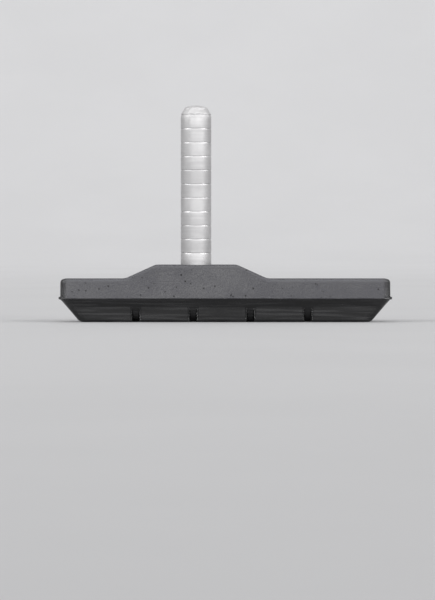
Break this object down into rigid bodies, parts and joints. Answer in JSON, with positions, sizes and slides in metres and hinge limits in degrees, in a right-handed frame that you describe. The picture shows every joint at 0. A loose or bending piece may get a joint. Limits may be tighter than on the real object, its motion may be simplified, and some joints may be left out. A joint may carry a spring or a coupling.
{
  "type": "bicycle rim brake pad",
  "caption": "Cantilever rim brake pad: humped black rubber block with notched flanks and slanted ends, moulded round a steel strip that carries a smooth ringed metal post.",
  "frame": {"origin": "on the friction face, at the middle of the block's length and width", "axes": "+X along the block, away from the post's end; +Y across the block; +Z along the post, from the friction face to the post's tip"},
  "size_m": [0.076, 0.0126, 0.0495],
  "materials": {
    "rubber": "satin black moulded rubber",
    "post_metal": "bright turned aluminium",
    "strip_steel": "plain rolled steel"
  },
  "bodies": {
    "root": {"rubber_block": "rubber", "post": "post_metal", "backing_plate": "strip_steel"}
  },
  "joints": []
}
